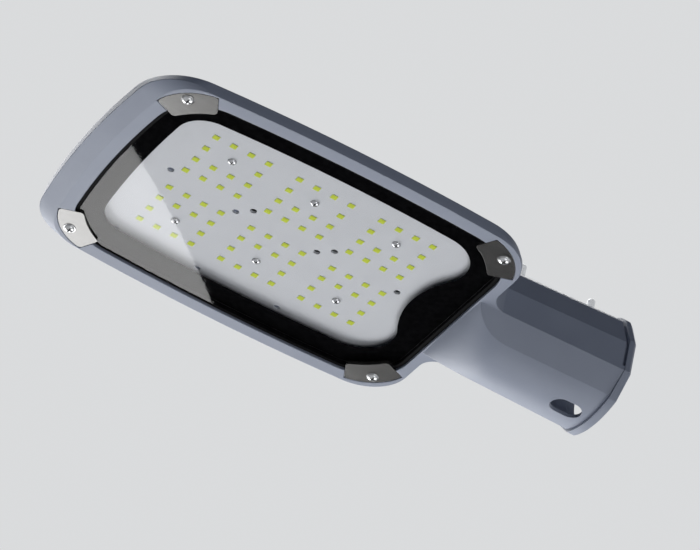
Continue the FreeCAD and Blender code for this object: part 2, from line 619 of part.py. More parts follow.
collar = addBody("collar_blank")
collarSection = dict(
    mouthSection, wall="wallHalfMouth + collarWallStep", wallTop="wallTopMouth + collarWallRise",
    crown="crownMouth + collarCrownStep",
    keelEdge="keelEdge + collarStep", keelDrop="keelDrop + collarStep")
faceSketch = addSketch(collar, "collar_face", "YZ_Plane", "0")
drawSpigotSection(faceSketch, dict(
    collarSection, wall="wallHalfMouth + collarWallStep - collarBreak",
    crown="crownMouth + collarCrownStep - collarBreak"))
edgeSketch = addSketch(collar, "collar_edge", "YZ_Plane", "collarBreak")
drawSpigotSection(edgeSketch, collarSection)
addLoft(collar, [faceSketch, edgeSketch], "collar_break")
collarSketch = addSketch(collar, "collar_section", "YZ_Plane", "collarBreak")
drawSpigotSection(collarSketch, collarSection)
addPad(collar, collarSketch, "collarWidth - collarBreak", "collar_pad")
collarHole = addCylinder("collar_hole", "boreRadius", "collarWidth * 3",
                         ("0 - collarWidth", "0", "0"), (1, 0, 0))
socketCollar = addCut("socket_collar", collar, collarHole)


# Glass, printed border and gasket

glassPlan = inset(recessPlan, "glassGap")
glass = plate("lens_glass", glassPlan, glassFace, "glassThickness")

border = addBody("lens_border")
borderSketch = addSketch(border, "border_plan", offset=glassBack)
drawOutline(borderSketch, inset(recessPlan, "glassGap + fitGap"))
addPad(border, borderSketch, "printThickness", "border_pad")
windowSketch = addSketch(border, "window_plan", offset=glassBack)
drawOutline(windowSketch, windowPlan)
addPocket(border, windowSketch, "printThickness", "window")
tongueSketch = addSketch(border, "tongue_plan", offset=glassBack)
turn = "(tongueDepth / (tongueArc + tongueFillet))"
tongueCos = f"(1 - {turn})"
tongueSin = f"sqrt(1 - {tongueCos}^2)"
drawLoop(tongueSketch, [
    ("windowRear - overcut", f"0 - (tongueArc + tongueFillet) * {tongueSin}"),
    ("windowRear", f"0 - (tongueArc + tongueFillet) * {tongueSin}"),
    (f"windowRear + tongueFillet * {turn}", f"0 - tongueArc * {tongueSin}"),
    (f"windowRear + tongueFillet * {turn}", f"tongueArc * {tongueSin}"),
    ("windowRear", f"(tongueArc + tongueFillet) * {tongueSin}"),
    ("windowRear - overcut", f"(tongueArc + tongueFillet) * {tongueSin}")],
    {1: "0 - tongueFillet", 2: "tongueArc", 3: "0 - tongueFillet"})
addPad(border, tongueSketch, "printThickness", "tongue")

gasketRing = plate("gasket_outer", inset(recessPlan, "fitGap"), gasketFace, "gasketThickness")
gasketHole = plate("gasket_inner", inset(recessPlan, "gasketWidth + fitGap"),
                   f"{gasketFace} - overcut", "gasketThickness + overcut * 2")
gasket = addCut("lens_gasket", gasketRing, addFuse("gasket_tools", [gasketHole, *[
    addCylinder(f"gasket_notch_{hand}", "clampBoss + fitGap", "gasketThickness + overcut * 2",
                (*clampPoint(*hands), f"{gasketFace} - overcut")) for hand, hands in clampHands.items()]]))


# LED board with its light sources

throughBoard = "boardThickness + overcut * 2"
underBoard = f"{boardFace} - overcut"
board = addCut("led_board", plate("board_blank", boardPlan, boardFace, "boardThickness"), addFuse(
    "board_tools", [addCylinder(f"{kind}_{number}", radius, throughBoard, (*spot, underBoard))
                    for kind, radius, spots in (("board_clearance", "boardShank + fitGap", boardScrewSpots),
                                                ("board_hole", "boardHole", holeSpots))
                    for number, spot in enumerate(spots)]))

ledPlaces = []
for group in (-1, 0, 1):
    for column in (-1.5, -0.5, 0.5, 1.5):
        for number, row in enumerate(rowLevels):
            if number == 2 and abs(column) < 1:
                continue
            for hand in (-1, 1):
                ledPlaces.append(Placement(Vector(
                    value(f"arrayCentre + groupPitch * {group} + ledPitch * {column}"),
                    hand * value(row), value(boardFace)), Rotation()))
ledBlank = addBox("led_blank", ("0 - ledSide / 2", "0 - ledSide / 2", "0 - ledRise"),
                  ("ledSide", "ledSide", "ledRise"))
phosphorBlank = addBox("phosphor_blank", ("0 - phosphorSide / 2", "0 - phosphorSide / 2",
                                          "0 - ledRise - phosphorRise"),
                       ("phosphorSide", "phosphorSide", "phosphorRise"))


# Screws

def addScrew(label, head, rise, shank, length):
    """Pan head below the seat plane, shank up the Z axis, with a cross recess."""
    body = addBody(label)
    profile = addSketch(body, label + "_profile", "XZ_Plane")
    rim = f"{rise} * headRim"
    sag = f"({rise} * (1 - headRim))"
    drawLoop(profile, [
        ("0", f"0 - {rise}"), (head, f"0 - {rim}"), (head, "0"), (shank, "0"), (shank, length),
        ("0", length)],
        {0: f"({head}^2 + {sag}^2) / (2 * {sag})"})
    addTurned(body, profile, label + "_turned")
    cross = addSketch(body, label + "_cross", offset=f"0 - {rise}")
    arm, half = f"({head} * crossArm)", f"({head} * crossHalf)"
    corners = [(arm, f"0 - {half}"), (arm, half), (half, half), (half, arm), (f"0 - {half}", arm),
               (f"0 - {half}", half), (f"0 - {arm}", half), (f"0 - {arm}", f"0 - {half}"),
               (f"0 - {half}", f"0 - {half}"), (f"0 - {half}", f"0 - {arm}"), (half, f"0 - {arm}"),
               (half, f"0 - {half}")]
    drawLoop(cross, corners)
    addPocket(body, cross, f"{rise} * crossDeep", label + "_recess")
    return body


clampScrew = addScrew("clamp_screw_blank", "clampHead", "clampHeadRise", "clampShank", "clampShankLong")
boardScrew = addScrew("board_screw_blank", "boardHead", "boardHeadRise", "boardShank", "boardShankLong")

setScrewBlank = addBody("set_screw_blank")
setScrewSketch = addSketch(setScrewBlank, "set_screw_profile", "XZ_Plane")
thread = "(setScrewRadius - threadGap)"
setScrewLong = "(setScrewTop - boreRadius - threadGap)"
drawLoop(setScrewSketch, [
    ("0", "0"), (f"{thread} - setScrewChamfer", "0"), (thread, "setScrewChamfer"),
    (thread, f"{setScrewLong} - setScrewChamfer"), (f"{thread} - setScrewChamfer", setScrewLong),
    ("0", setScrewLong)])
addTurned(setScrewBlank, setScrewSketch, "set_screw_turned")
socket = doc.addObject("Part::Prism", "set_screw_socket")
socket.Polygon = 6
socket.setExpression("Circumradius", bound("setScrewSocket"))
socket.setExpression("Height", bound("setScrewSocketDeep * 2"))
socket.setExpression("Placement.Base.z", bound(f"{setScrewLong} - setScrewSocketDeep"))
setScrew = addCut("set_screw_solid", setScrewBlank, socket)


# Control gear

cableGrommet = addBody("cable_grommet")
grommetSketch = addSketch(cableGrommet, "grommet_profile", "XZ_Plane")
grommetSeat = "boreDepth + grommetLip"
drawLoop(grommetSketch, [
    ("boreDepth", "cableHoleRise + grommetBore"),
    (f"{grommetSeat} + grommetSleeve", "cableHoleRise + grommetBore"),
    (f"{grommetSeat} + grommetSleeve", "cableHoleRise + cableHole"),
    (grommetSeat, "cableHoleRise + cableHole"), (grommetSeat, "cableHoleRise + grommetFlange"),
    ("boreDepth", "cableHoleRise + grommetFlange")])
axisLine = cableGrommet.newObject("PartDesign::Line", "grommet_axis")
axisLine.setExpression("Placement.Base.z", bound("cableHoleRise"))
axisLine.Placement.Rotation = Rotation(Vector(0, 0, 1), Vector(1, 0, 0))
grommetTurned = cableGrommet.newObject("PartDesign::Revolution", "grommet_turned")
grommetTurned.Profile = grommetSketch
grommetTurned.ReferenceAxis = (axisLine, [""])
grommetTurned.Angle = 360

driver = addCut("driver", addFuse("driver_blank", [
    addBox("driver_case", ("driverRear", "0 - driverWide / 2", "gearRoof - driverTall"),
           ("driverLong", "driverWide", "driverTall")),
    addBox("driver_tab", ("driverRear - driverTab", "0 - driverWide / 4", "gearRoof - driverTabThick"),
           ("driverTab", "driverWide / 2", "driverTabThick"))]),
    addCylinder("tab_clearance", "boardShank + fitGap", "driverTabThick * 3",
                (*tabSpot[:2], "gearRoof - driverTabThick * 2")))

terminalLevel = "gearRoof - terminalTall"
terminalMiddle = f"{terminalLevel} + terminalTall / 2"
ways = ["0 - terminalPitch", "0", "terminalPitch"]
terminal = addCut("terminal_block", addBox(
    "terminal_case", ("terminalRear", "0 - terminalWide / 2", terminalLevel),
    ("terminalLong", "terminalWide", "terminalTall")),
    addFuse("terminal_tools", [
        *[addCylinder(f"wire_entry_{number}", "terminalHole", "terminalLong / 2",
                      ("terminalRear - overcut", way, terminalMiddle), (1, 0, 0))
          for number, way in enumerate(ways)],
        *[addCylinder(f"screw_well_{number}", "terminalHole + fitGap", "terminalTall / 2 + overcut",
                      ("terminalRear + terminalLong / 2", way, f"{terminalLevel} - overcut"))
          for number, way in enumerate(ways)]]))
terminalScrewBlank = addCylinder("terminal_screw_blank", "terminalHole", "terminalTall / 4", ("0", "0", "0"))

supplyLeadBlank = addCylinder("supply_lead_blank", "leadRadius", "driverRear - terminalRear - terminalLong",
                              ("0", "0", "0"), (1, 0, 0))


def bentLead():
    """From the driver's front end, one quarter turn down to the back of the board."""
    radius, bend = value("leadRadius"), value("leadBend")
    start = Vector(value("driverRear + driverLong"), 0, value("gearRoof - driverTall / 2"))
    knee = start + Vector((value("gearFront") - start.x) / 2, 0, 0)
    turnIn, turnOut = knee - Vector(bend, 0, 0), knee - Vector(0, 0, bend)
    middle = knee + Vector(-bend, 0, -bend) + Vector(bend, 0, bend) * math.sqrt(0.5)
    end = Vector(knee.x, 0, value(boardFloor))
    path = Part.Wire([Part.LineSegment(start, turnIn).toShape(), Part.Arc(turnIn, middle, turnOut).toShape(),
                      Part.LineSegment(turnOut, end).toShape()])
    return path.makePipeShell([Part.Wire(Part.makeCircle(radius, start, Vector(1, 0, 0)))], True, False)


doc.recompute()
boardLeadBlank = doc.addObject("Part::Feature", "board_lead_blank")
boardLeadBlank.Shape = bentLead()


# Pieces that repeat, each put at its own places

def at(across, along, up, turn=None):
    return Placement(Vector(value(across), value(along), value(up)), turn or Rotation())


clamps = [addGroup(f"clamp_{hand}", clampBlank, [clampPlace(*hands, rimLevel)])
          for hand, hands in clampHands.items()]
clampScrews = addGroup("clamp_screws", clampScrew,
                       [at(*clampPoint(*hands), rimLevel) for hands in clampHands.values()])
boardScrews = addGroup("board_screws", boardScrew, [at(*spot, boardFace) for spot in boardScrewSpots])
ledPackages = addGroup("led_packages", ledBlank, ledPlaces)
ledPhosphors = addGroup("led_phosphors", phosphorBlank, ledPlaces)
driverScrew = addGroup("driver_screw", boardScrew, [at(*tabSpot)])
earthScrew = addGroup("earth_screw", clampScrew, [at(*earthSpot)])
terminalScrews = addGroup("terminal_screws", terminalScrewBlank, [
    at("terminalRear + terminalLong / 2", way, f"{terminalMiddle} - terminalTall / 4") for way in ways])
supplyLeads = addGroup("supply_leads", supplyLeadBlank, [
    at("terminalRear + terminalLong", f"leadSpread * {hand}", terminalMiddle) for hand in (-1, 1)])
boardLeads = addGroup("board_leads", boardLeadBlank,
                      [at("0", f"leadSpread * {hand}", "0") for hand in (-1, 1)])
setScrews = [addGroup(label, setScrew, [at(spot, "0", "boreRadius + threadGap")])
             for label, spot in (("set_screw_front", "setScrewSecond"), ("set_screw_rear", "setScrewFirst"))]
doc.recompute()

pieces = [housing, socketCollar, glass, border, gasket, *clamps, clampScrews, board, ledPackages,
          ledPhosphors, boardScrews, driver, driverScrew, terminal, terminalScrews, earthScrew,
          supplyLeads, boardLeads, cableGrommet, *setScrews]

faults = [item.Name for item in doc.Objects if "Invalid" in item.State or "Error" in item.State]
faults += [piece.Label for piece in pieces if piece.Shape.isNull() or not piece.Shape.isValid()]
if faults:
    raise RuntimeError("failed: " + ", ".join(faults))

os.makedirs("parts", exist_ok=True)
for piece in pieces:
    piece.Shape.exportStep(f"parts/{piece.Label}.step")
    print(f"{piece.Label}: {len(piece.Shape.Solids)} solids, {piece.Shape.Volume / 1000:.2f} cm3")
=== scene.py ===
import bpy, bmesh
from math import cos, pi, radians, sin
from mathutils import Matrix, Vector


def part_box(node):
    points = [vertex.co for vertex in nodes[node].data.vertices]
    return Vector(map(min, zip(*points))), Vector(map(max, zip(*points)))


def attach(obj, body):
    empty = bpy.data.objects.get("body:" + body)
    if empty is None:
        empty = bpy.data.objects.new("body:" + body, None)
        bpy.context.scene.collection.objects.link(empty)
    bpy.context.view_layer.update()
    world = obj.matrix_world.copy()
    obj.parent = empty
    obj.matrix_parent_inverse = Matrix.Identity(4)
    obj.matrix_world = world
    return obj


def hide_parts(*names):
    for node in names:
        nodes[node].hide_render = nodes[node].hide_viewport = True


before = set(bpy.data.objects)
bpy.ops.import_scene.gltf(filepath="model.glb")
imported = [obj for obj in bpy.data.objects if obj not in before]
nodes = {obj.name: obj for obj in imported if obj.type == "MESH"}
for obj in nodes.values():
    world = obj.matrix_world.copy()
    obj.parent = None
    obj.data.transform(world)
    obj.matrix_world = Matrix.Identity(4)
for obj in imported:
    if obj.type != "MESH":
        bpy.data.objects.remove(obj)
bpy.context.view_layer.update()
scene = bpy.context.scene
scene.view_settings.view_transform = "Standard"
print("frame loaded:", len(nodes), "nodes")


# what the stage and the pieces share
def addMesh(name, bm):
    data = bpy.data.meshes.new(name)
    bm.to_mesh(data)
    bm.free()
    piece = bpy.data.objects.new(name, data)
    scene.collection.objects.link(piece)
    return piece


def turnTo(way, front):
    # rotation that points that axis of an object along the way
    return Vector(way).to_track_quat(front, "Y").to_matrix().to_4x4()


def newMaterial(name):
    material = bpy.data.materials.new(name)
    material.use_nodes = True
    tree = material.node_tree
    return material, tree, tree.nodes["Principled BSDF"]


def mixOn(tree, share, first, second, target):
    # first shader where the share is 0, second where it is 1
    mix = tree.nodes.new("ShaderNodeMixShader")
    tree.links.new(share, mix.inputs[0])
    tree.links.new(first.outputs[0], mix.inputs[1])
    tree.links.new(second.outputs[0], mix.inputs[2])
    tree.links.new(mix.outputs[0], target)


# camera below the lamp head, at the photo's angle
cameraSet = dict(spot=(0.785, 1.625, -1.283), aim=(-0.2877, -0.7552, 0.589), roll=13.893, lens=197.8, clipEnd=100)


def addCamera(values):
    data = bpy.data.cameras.new("streetCamera")
    data.lens = values["lens"]
    data.clip_end = values["clipEnd"]
    camera = bpy.data.objects.new("streetCamera", data)
    roll = Matrix.Rotation(radians(values["roll"]), 4, "Z")
    camera.matrix_world = Matrix.Translation(values["spot"]) @ turnTo(values["aim"], "-Z") @ roll
    scene.collection.objects.link(camera)
    scene.camera = camera


addCamera(cameraSet)
print("camera set")

# floor far below the raised lamp head, and a pale world
stageSet = dict(floorLevel=-3.5, floorSize=60, floorCells=24, paper=(0.70, 0.71, 0.72),
                skyLight=(0.108, 0.119, 0.145))


def paleWhereSeen(tree):
    # 1 where the camera, a gloss or a clear piece looks, so that they show the pale paper
    path = tree.nodes.new("ShaderNodeLightPath")
    seen = path.outputs["Is Camera Ray"]
    for ray in ("Is Glossy Ray", "Is Transmission Ray"):
        either = tree.nodes.new("ShaderNodeMath")
        either.operation = "MAXIMUM"
        tree.links.new(seen, either.inputs[0])
        tree.links.new(path.outputs[ray], either.inputs[1])
        seen = either.outputs[0]
    return seen


def makeWorld(values):
    world = bpy.data.worlds.new("paleStudio")
    scene.world = world
    world.use_nodes = True
    tree = world.node_tree
    tree.nodes.clear()
    dim, pale = (tree.nodes.new("ShaderNodeBackground") for _ in range(2))
    dim.inputs["Color"].default_value = (*values["skyLight"], 1)
    pale.inputs["Color"].default_value = (*values["paper"], 1)
    out = tree.nodes.new("ShaderNodeOutputWorld")
    mixOn(tree, paleWhereSeen(tree), dim, pale, out.inputs["Surface"])


def makeFloor(values):
    bm = bmesh.new()
    cells = values["floorCells"]
    bmesh.ops.create_grid(bm, x_segments=cells, y_segments=cells, size=values["floorSize"] / 2)
    floor = addMesh("studioFloor", bm)
    floor.location.z = values["floorLevel"]
    material, tree, shader = newMaterial("floorPaper")
    tree.nodes.remove(shader)
    diffuse = tree.nodes.new("ShaderNodeBsdfDiffuse")
    diffuse.inputs["Color"].default_value = (*values["skyLight"], 1)
    glow = tree.nodes.new("ShaderNodeEmission")
    glow.inputs["Color"].default_value = (*values["paper"], 1)
    mixOn(tree, paleWhereSeen(tree), diffuse, glow, tree.nodes["Material Output"].inputs["Surface"])
    floor.data.materials.append(material)


# dark cards out of the picture: the low one is mirrored in the glass, so that its border stays black,
# and the top one shades the spigot's walls
cardCells, cardRough = 6, 0.9
cardSet = {
    "lowCard": dict(spot=(-1.02, -2.93, -2.30), wide=3.2, tall=2.2, colour=(0.012, 0.012, 0.013), faces=(0.14, 0, 0)),
    "topCard": dict(spot=(-0.35, 0.25, 2.50), wide=3.0, tall=2.4, colour=(0.05, 0.05, 0.055), faces=(0.27, 0.03, 0)),
}


def makeCard(name, values):
    bm = bmesh.new()
    bmesh.ops.create_grid(bm, x_segments=cardCells, y_segments=cardCells, size=0.5)  # a metre across
    bmesh.ops.scale(bm, verts=bm.verts, vec=(values["wide"], values["tall"], 1))
    card = addMesh(name, bm)
    spot = Vector(values["spot"])
    card.matrix_world = Matrix.Translation(spot) @ turnTo(Vector(values["faces"]) - spot, "Z")
    card.visible_camera = False
    material, tree, shader = newMaterial(name + "Cloth")
    shader.inputs["Base Color"].default_value = (*values["colour"], 1)
    shader.inputs["Roughness"].default_value = cardRough
    shader.inputs["Specular IOR Level"].default_value = 0
    card.data.materials.append(material)


makeWorld(stageSet)
makeFloor(stageSet)
for cardName, cardValues in cardSet.items():
    makeCard(cardName, cardValues)
print("stage made")

# soft key and fill from below, a round side panel that the glass mirrors, and a fill from above
lampAim = (0.2, 0, 0)
lampSet = {
    "keyBox": dict(spot=(-1.10, -0.80, -1.50), size=(1.3, 1.3), level=2.7),
    "sidePanel": dict(spot=(0.3757, -2.2240, -0.6346), size=(2.1, 2.1), level=5.6, shape="ELLIPSE",
                      along=(-0.772, -0.181, 0.609), facing=(-0.2877, -0.7552, -0.589)),
    "lowFill": dict(spot=(-0.25, 1.15, -1.60), size=(1.3, 1.3), level=1.8),
    "topFill": dict(spot=(0.3, -1.40, 1.5), size=(2.0, 2.0), level=3.2),
}


def addSoftBox(name, values):
    data = bpy.data.lights.new(name, "AREA")
    data.shape = values.get("shape", "RECTANGLE")
    data.size, data.size_y = values["size"]
    share = pi / 4 if data.shape == "ELLIPSE" else 1  # of the rectangle around it
    data.energy = values["level"] * data.size * data.size_y * share * pi  # watts for that brightness
    box = bpy.data.objects.new(name, data)
    spot = Vector(values["spot"])
    if "along" in values:
        up, back = Vector(values["along"]).normalized(), Vector(values["facing"]).normalized()
        side = up.cross(back).normalized()
        turn = Matrix((side, back.cross(side), back)).transposed().to_4x4()
    else:
        turn = turnTo(Vector(lampAim) - spot, "-Z")
    box.matrix_world = Matrix.Translation(spot) @ turn
    box.visible_camera = False
    scene.collection.objects.link(box)


for lampName, lampValues in lampSet.items():
    addSoftBox(lampName, lampValues)
print("lights set")


# what the finishes share
def objectCoords(tree):
    return tree.nodes.new("ShaderNodeTexCoord").outputs["Object"]


def noiseOn(tree, coords, scale, detail=3, stretch=None):
    if stretch:
        mapping = tree.nodes.new("ShaderNodeMapping")
        mapping.inputs["Scale"].default_value = stretch
        tree.links.new(coords, mapping.inputs["Vector"])
        coords = mapping.outputs["Vector"]
    noise = tree.nodes.new("ShaderNodeTexNoise")
    noise.inputs["Scale"].default_value = scale
    noise.inputs["Detail"].default_value = detail
    tree.links.new(coords, noise.inputs["Vector"])
    return noise.outputs["Fac"]


def rampOn(tree, source, spots, colours, target):
    ramp = tree.nodes.new("ShaderNodeValToRGB")
    for element, spot, colour in zip(ramp.color_ramp.elements, spots, colours):
        element.position = spot
        element.color = (*colour, 1)
    tree.links.new(source, ramp.inputs["Fac"])
    tree.links.new(ramp.outputs["Color"], target)


def spreadOn(tree, source, low, high, target):
    spread = tree.nodes.new("ShaderNodeMapRange")
    spread.inputs["To Min"].default_value = low
    spread.inputs["To Max"].default_value = high
    tree.links.new(source, spread.inputs["Value"])
    tree.links.new(spread.outputs["Result"], target)


edgeRays = 6


def bumpOn(tree, source, depth, strength, edge, target):
    # fine relief, over edges that look rounded where an edge radius is given
    bump = tree.nodes.new("ShaderNodeBump")
    bump.inputs["Distance"].default_value = depth
    bump.inputs["Strength"].default_value = strength
    tree.links.new(source, bump.inputs["Height"])
    if edge:
        bevel = tree.nodes.new("ShaderNodeBevel")
        bevel.samples = edgeRays
        bevel.inputs["Radius"].default_value = edge
        tree.links.new(bevel.outputs["Normal"], bump.inputs["Normal"])
    tree.links.new(bump.outputs["Normal"], target)


# powder paint of the casting: broad cloud in the colour, fine orange peel in gloss and relief
paintSet = {
    "castPaint": dict(dark=(0.260, 0.293, 0.374), light=(0.300, 0.335, 0.421)),
    "collarPaint": dict(dark=(0.250, 0.282, 0.360), light=(0.290, 0.324, 0.408)),
}
powder = dict(cloudScale=22, cloudDetail=4, cloudSpots=(0.3, 0.7), peelScale=700, peelDetail=2, peelDepth=0.000015,
              peelStrength=0.5, roughLow=0.38, roughHigh=0.50, shine=0.3, edge=0.0007)


def makePaint(name, values):
    material, tree, shader = newMaterial(name)
    coords = objectCoords(tree)
    cloud = noiseOn(tree, coords, powder["cloudScale"], powder["cloudDetail"])
    peel = noiseOn(tree, coords, powder["peelScale"], powder["peelDetail"])
    shader.inputs["Specular IOR Level"].default_value = powder["shine"]
    rampOn(tree, cloud, powder["cloudSpots"], (values["dark"], values["light"]), shader.inputs["Base Color"])
    spreadOn(tree, peel, powder["roughLow"], powder["roughHigh"], shader.inputs["Roughness"])
    bumpOn(tree, peel, powder["peelDepth"], powder["peelStrength"], powder["edge"], shader.inputs["Normal"])
    return material


# bare metals: the clamp plates are brushed along one way, the rest is fine grained
metalSet = {
    "clampSteel": dict(colour=(0.165, 0.164, 0.162), rough=0.22, grain=1.0, depth=0.000002, edge=0.00008,
                       stretch=(90, 2600, 90)),
    "brightSteel": dict(colour=(0.46, 0.465, 0.475), rough=0.06, grain=600, depth=0.000004, edge=0.0001),
    # near-black steel for the screws' cross recesses: painted shade where the recess lies in shade
    "recessShadeSteel": dict(colour=(0.035, 0.035, 0.038), rough=0.35, grain=900, depth=0.000004, edge=0.0001),
    "pinSteel": dict(colour=(0.80, 0.81, 0.83), rough=0.22, grain=900, depth=0.000004, edge=0.0001),
}
metalGrain = dict(darkShare=0.82, spots=(0.3, 0.7), roughLow=0.8, roughHigh=1.25, strength=0.6)


def makeMetal(name, values):
    material, tree, shader = newMaterial(name)
    shader.inputs["Metallic"].default_value = 1
    streaks = noiseOn(tree, objectCoords(tree), values["grain"], stretch=values.get("stretch"))
    darker = tuple(part * metalGrain["darkShare"] for part in values["colour"])
    rampOn(tree, streaks, metalGrain["spots"], (darker, values["colour"]), shader.inputs["Base Color"])
    spreadOn(tree, streaks, values["rough"] * metalGrain["roughLow"], values["rough"] * metalGrain["roughHigh"],
             shader.inputs["Roughness"])
    bumpOn(tree, streaks, values["depth"], metalGrain["strength"], values["edge"], shader.inputs["Normal"])
    return material


# prints, rubbers, plastics and the board's lacquer
plasticSet = {
    "blackPrint": dict(dark=(0.003, 0.003, 0.0035), light=(0.006, 0.006, 0.0065), rough=0.6, grain=300,
                       depth=0.000002, edge=0, shine=0),
    # near-black silicone with almost no gloss: partly the seal's own black, partly painted shade of the glass's gap
    "sealBlackGapShade": dict(dark=(0.003, 0.003, 0.0035), light=(0.007, 0.007, 0.0075), rough=0.7, grain=500,
                      depth=0.00001, edge=0, shine=0.03),
    "gasketRubber": dict(dark=(0.012, 0.012, 0.013), light=(0.022, 0.022, 0.024), rough=0.7, grain=900,
                         depth=0.00003, edge=0.0002, shine=0.5),
    "boardWhite": dict(dark=(0.725, 0.745, 0.765), light=(0.755, 0.775, 0.795), rough=0.5, grain=60,
                       depth=0.000004, edge=0, shine=0.3),
    "packageWhite": dict(dark=(0.72, 0.80, 0.28), light=(0.78, 0.85, 0.34), rough=0.45, grain=800,
                         depth=0.000004, edge=0.0001, shine=0.3),
    "phosphorYellow": dict(dark=(0.62, 0.74, 0.020), light=(0.72, 0.84, 0.035), rough=0.55, grain=1500,
                           depth=0.000004, edge=0.0001, shine=0.25),
    "driverPaint": dict(dark=(0.55, 0.56, 0.56), light=(0.62, 0.63, 0.63), rough=0.5, grain=300,
                        depth=0.00002, edge=0.0002, shine=0.5),
    "nylonWhite": dict(dark=(0.62, 0.62, 0.59), light=(0.70, 0.70, 0.67), rough=0.5, grain=400,
                       depth=0.00002, edge=0.0002, shine=0.5),
    "leadSleeve": dict(dark=(0.10, 0.04, 0.03), light=(0.16, 0.06, 0.04), rough=0.5, grain=300,
                       depth=0.00002, edge=0.0002, shine=0.5),
}
plasticGrain = dict(spots=(0.35, 0.65), roughLow=0.85, roughHigh=1.15, strength=0.5)


def makePlastic(name, values):
    material, tree, shader = newMaterial(name)
    shader.inputs["Specular IOR Level"].default_value = values["shine"]
    cloud = noiseOn(tree, objectCoords(tree), values["grain"])
    rampOn(tree, cloud, plasticGrain["spots"], (values["dark"], values["light"]), shader.inputs["Base Color"])
    spreadOn(tree, cloud, values["rough"] * plasticGrain["roughLow"], values["rough"] * plasticGrain["roughHigh"],
             shader.inputs["Roughness"])
    bumpOn(tree, cloud, values["depth"], plasticGrain["strength"], values["edge"], shader.inputs["Normal"])
    return material


# clear glass that mirrors only on the face that light meets first
glassSet = dict(tint=(0.985, 0.986, 0.992), index=1.355, smudgeScale=18, smudgeDetail=4, glossLow=0.006,
                glossHigh=0.0264)


def makeGlass(name, values):
    material, tree, shader = newMaterial(name)
    tree.nodes.remove(shader)
    clear = tree.nodes.new("ShaderNodeBsdfTransparent")
    clear.inputs["Color"].default_value = (*values["tint"], 1)
    mirror = tree.nodes.new("ShaderNodeBsdfGlossy")
    smudge = noiseOn(tree, objectCoords(tree), values["smudgeScale"], values["smudgeDetail"])
    spreadOn(tree, smudge, values["glossLow"], values["glossHigh"], mirror.inputs["Roughness"])
    fresnel = tree.nodes.new("ShaderNodeFresnel")
    fresnel.inputs["IOR"].default_value = values["index"]
    geometry = tree.nodes.new("ShaderNodeNewGeometry")
    outer = tree.nodes.new("ShaderNodeMath")
    outer.operation = "SUBTRACT"
    outer.inputs[0].default_value = 1
    tree.links.new(geometry.outputs["Backfacing"], outer.inputs[1])
    share = tree.nodes.new("ShaderNodeMath")
    share.operation = "MULTIPLY"
    tree.links.new(fresnel.outputs[0], share.inputs[0])
    tree.links.new(outer.outputs[0], share.inputs[1])
    mixOn(tree, share.outputs[0], clear, mirror, tree.nodes["Material Output"].inputs["Surface"])
    return material


finishes = {"clearGlass": makeGlass("clearGlass", glassSet)}
for make, table in ((makePaint, paintSet), (makeMetal, metalSet), (makePlastic, plasticSet)):
    for finishName, finishValues in table.items():
        finishes[finishName] = make(finishName, finishValues)

nodeFinish = dict(
    housing="castPaint", socket_collar="collarPaint", lens_glass="clearGlass", lens_border="blackPrint",
    lens_gasket="gasketRubber", cable_grommet="gasketRubber", clamp_front_left="clampSteel",
    clamp_front_right="clampSteel", clamp_rear_left="clampSteel", clamp_rear_right="clampSteel",
    clamp_screws="brightSteel", board_screws="brightSteel", driver_screw="brightSteel",
    terminal_screws="brightSteel", earth_screw="brightSteel", set_screw_front="pinSteel",
    set_screw_rear="pinSteel", led_board="boardWhite", led_packages="packageWhite",
    led_phosphors="phosphorYellow", driver="driverPaint", terminal_block="nylonWhite",
    supply_leads="leadSleeve", board_leads="leadSleeve")
for name, node in nodes.items():
    node.data.materials.clear()
    node.data.materials.append(finishes[nodeFinish[name]])
print("materials on", len(nodes), "nodes")

# finer small pieces, each at the place of its CAD solid
weldGap = 0.000001  # corners nearer than this are one
sharpFrom = radians(38)  # an edge that turns more stays sharp


def weldedNode(nodeName):
    bm = bmesh.new()
    bm.from_mesh(nodes[nodeName].data)
    bmesh.ops.remove_doubles(bm, verts=bm.verts, dist=weldGap)
    return bm


def placesOf(nodeName):
    # lowest and highest corner of each loose solid
    bm = weldedNode(nodeName)
    bm.verts.index_update()
    bm.verts.ensure_lookup_table()
    left, places = set(range(len(bm.verts))), []
    while left:
        stack, group = [left.pop()], []
        while stack:
            vert = bm.verts[stack.pop()]
            group.append(vert.co.copy())
            for edge in vert.link_edges:
                other = edge.other_vert(vert).index
                if other in left:
                    left.remove(other)
                    stack.append(other)
        low = Vector([min(co[axis] for co in group) for axis in range(3)])
        high = Vector([max(co[axis] for co in group) for axis in range(3)])
        places.append((low, high))
    bm.free()
    return places


def seatAt(low, high, level):
    return Vector(((low.x + high.x) / 2, (low.y + high.y) / 2, level))


def joinRows(bm, row, after):
    # band of four sided faces between two closed rows
    count = len(row)
    return [bm.faces.new((row[step], row[(step + 1) % count], after[(step + 1) % count], after[step]))
            for step in range(count)]


def joinRings(bm, rings):
    # closed skin over a row of rings, the faces given back in order
    rows = [[bm.verts.new(co) for co in ring] for ring in rings]
    faces = [bm.faces.new(tuple(reversed(rows[0])))]
    for row, after in zip(rows, rows[1:]):
        faces += joinRows(bm, row, after)
    faces.append(bm.faces.new(tuple(rows[-1])))
    return faces


def addPiece(name, bm, finishName, replaced=None, smooth=True):
    bmesh.ops.recalc_face_normals(bm, faces=bm.faces)
    piece = addMesh(name, bm)
    piece.data.materials.append(finishes[finishName])
    if smooth:
        piece.data.shade_smooth()
        piece.data.set_sharp_from_angle(angle=sharpFrom)
    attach(piece, "root")
    if replaced:
        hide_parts(replaced)
    return piece


# printed border, a hair behind the glass so that the two faces don't share one plane
printSet = dict(gap=0.00004)


def makePrint(values):
    bm = bmesh.new()
    bm.from_mesh(nodes["lens_border"].data)
    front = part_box("lens_border")[0][2] + values["gap"]
    for vert in bm.verts:
        if vert.co.z < front:
            vert.co.z = front
    addPiece("borderPrint", bm, "blackPrint", "lens_border", smooth=False)
